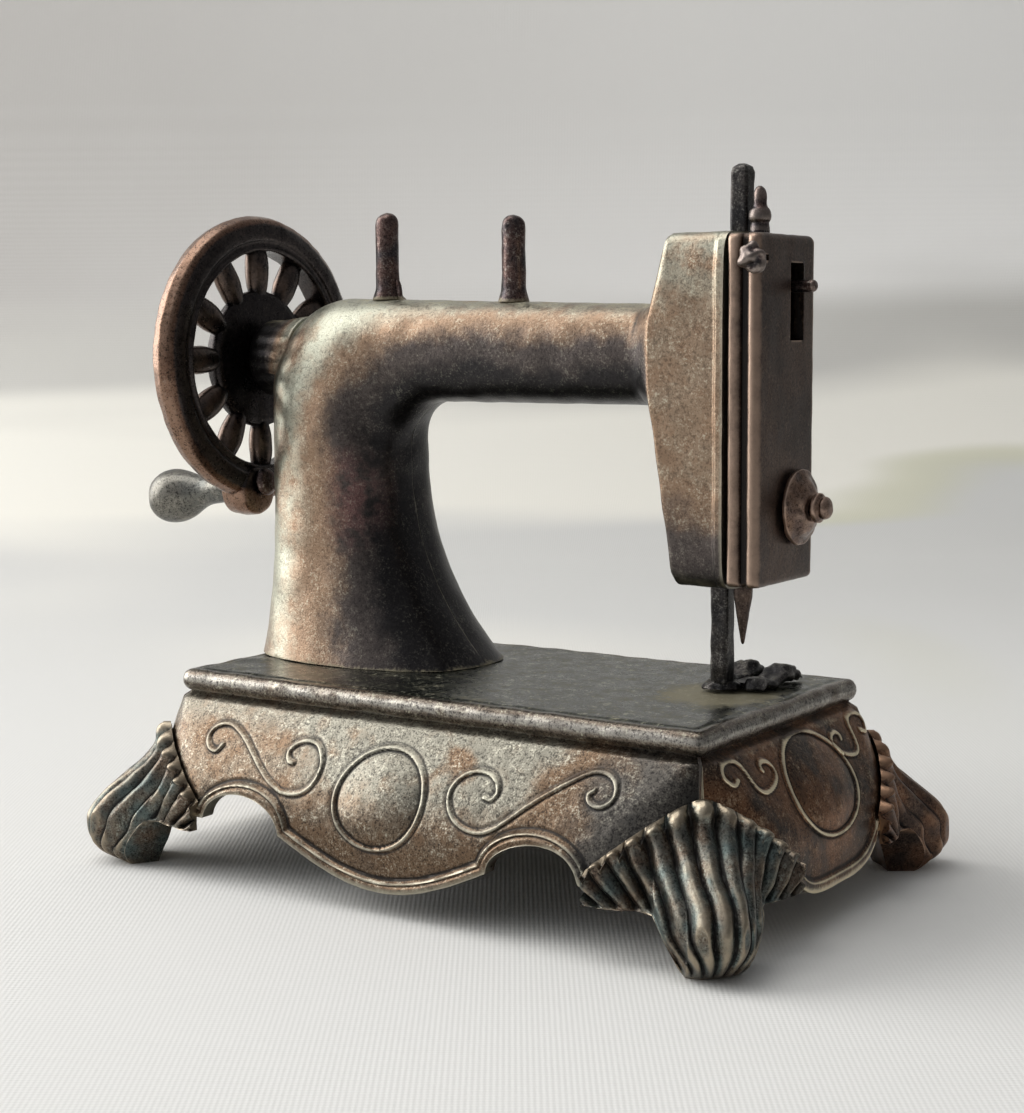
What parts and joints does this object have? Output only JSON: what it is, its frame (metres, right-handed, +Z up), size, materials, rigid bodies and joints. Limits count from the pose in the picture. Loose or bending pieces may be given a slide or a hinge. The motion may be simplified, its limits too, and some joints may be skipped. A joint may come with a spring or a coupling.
{
  "type": "miniature hand-crank sewing machine",
  "caption": "Small die-cast sewing machine on a scalloped base with fluted shell feet, a spoked handwheel with a crank grip, and a sliding needle bar and presser bar.",
  "frame": {"origin": "middle of the overall length and width, on the plane the four feet stand on", "axes": "+X along the bed from the handwheel to the head, +Y across the bed, +Z up"},
  "size_m": [0.0858, 0.0478, 0.068],
  "materials": {
    "bed": "dark green-bronze antiqued casting, satin",
    "skirt": "antiqued bronze casting, raised edges rubbed bright",
    "foot": "dark antiqued casting with worn flutes",
    "body": "antiqued bronze casting, satin",
    "cover": "dark copper-brown antiqued casting",
    "cover_rivet": "blackened",
    "tension_disc": "dark bronze plated",
    "tension_knob": "copper plated, rubbed",
    "spool_pin": "blackened",
    "screw": "plain",
    "wheel": "dark casting with a coppery rubbed rim",
    "grip": "blackened",
    "rivet": "copper plated",
    "shaft": "plain",
    "bush": "plain",
    "needle_bar": "dark bronze plated",
    "needle": "copper plated, rubbed",
    "presser": "blackened"
  },
  "bodies": {
    "base": {"bed_plate": "bed", "rear_side_panel": "skirt", "front_side_panel": "skirt", "head_end_panel": "skirt", "wheel_end_panel": "skirt", "head_rear_foot": "foot", "wheel_rear_foot": "foot", "head_front_foot": "foot", "wheel_front_foot": "foot", "body_shell_rear": "body", "body_shell_front": "body", "face_cover": "cover", "cover_rivet": "cover_rivet", "tension_disc": "tension_disc", "tension_knob": "tension_knob", "spool_pin_column": "spool_pin", "spool_pin_arm": "spool_pin", "column_screw_outer": "screw", "column_screw_inner": "screw", "rear_bush": "bush", "front_bush": "bush"},
    "wheel": {"handwheel": "wheel", "main_shaft": "shaft", "crank_disc": "shaft", "handle_rivet": "rivet"},
    "grip": {"crank_grip": "grip"},
    "needle_slide": {"needle_bar": "needle_bar", "needle": "needle"},
    "presser_slide": {"presser_bar": "presser", "presser_foot": "presser"}
  },
  "joints": [
    {"name": "wheel_turn", "type": "hinge", "parent": "base", "child": "wheel", "pos_m": [-0.02734, 0.002, 0.0503], "axis": [1, 0, 0], "continuous": true},
    {"name": "grip_spin", "type": "hinge", "parent": "wheel", "child": "grip", "pos_m": [-0.03054, 0.00031, 0.0365], "axis": [-0.9877, 0, -0.1564], "continuous": true},
    {"name": "needle_lift", "type": "slide", "parent": "base", "child": "needle_slide", "axis": [0, 0, 1], "range_m": [-0.00404, 0.00146]},
    {"name": "presser_lift", "type": "slide", "parent": "base", "child": "presser_slide", "axis": [0, 0, 1], "range_m": [0, 0.0025]}
  ]
}
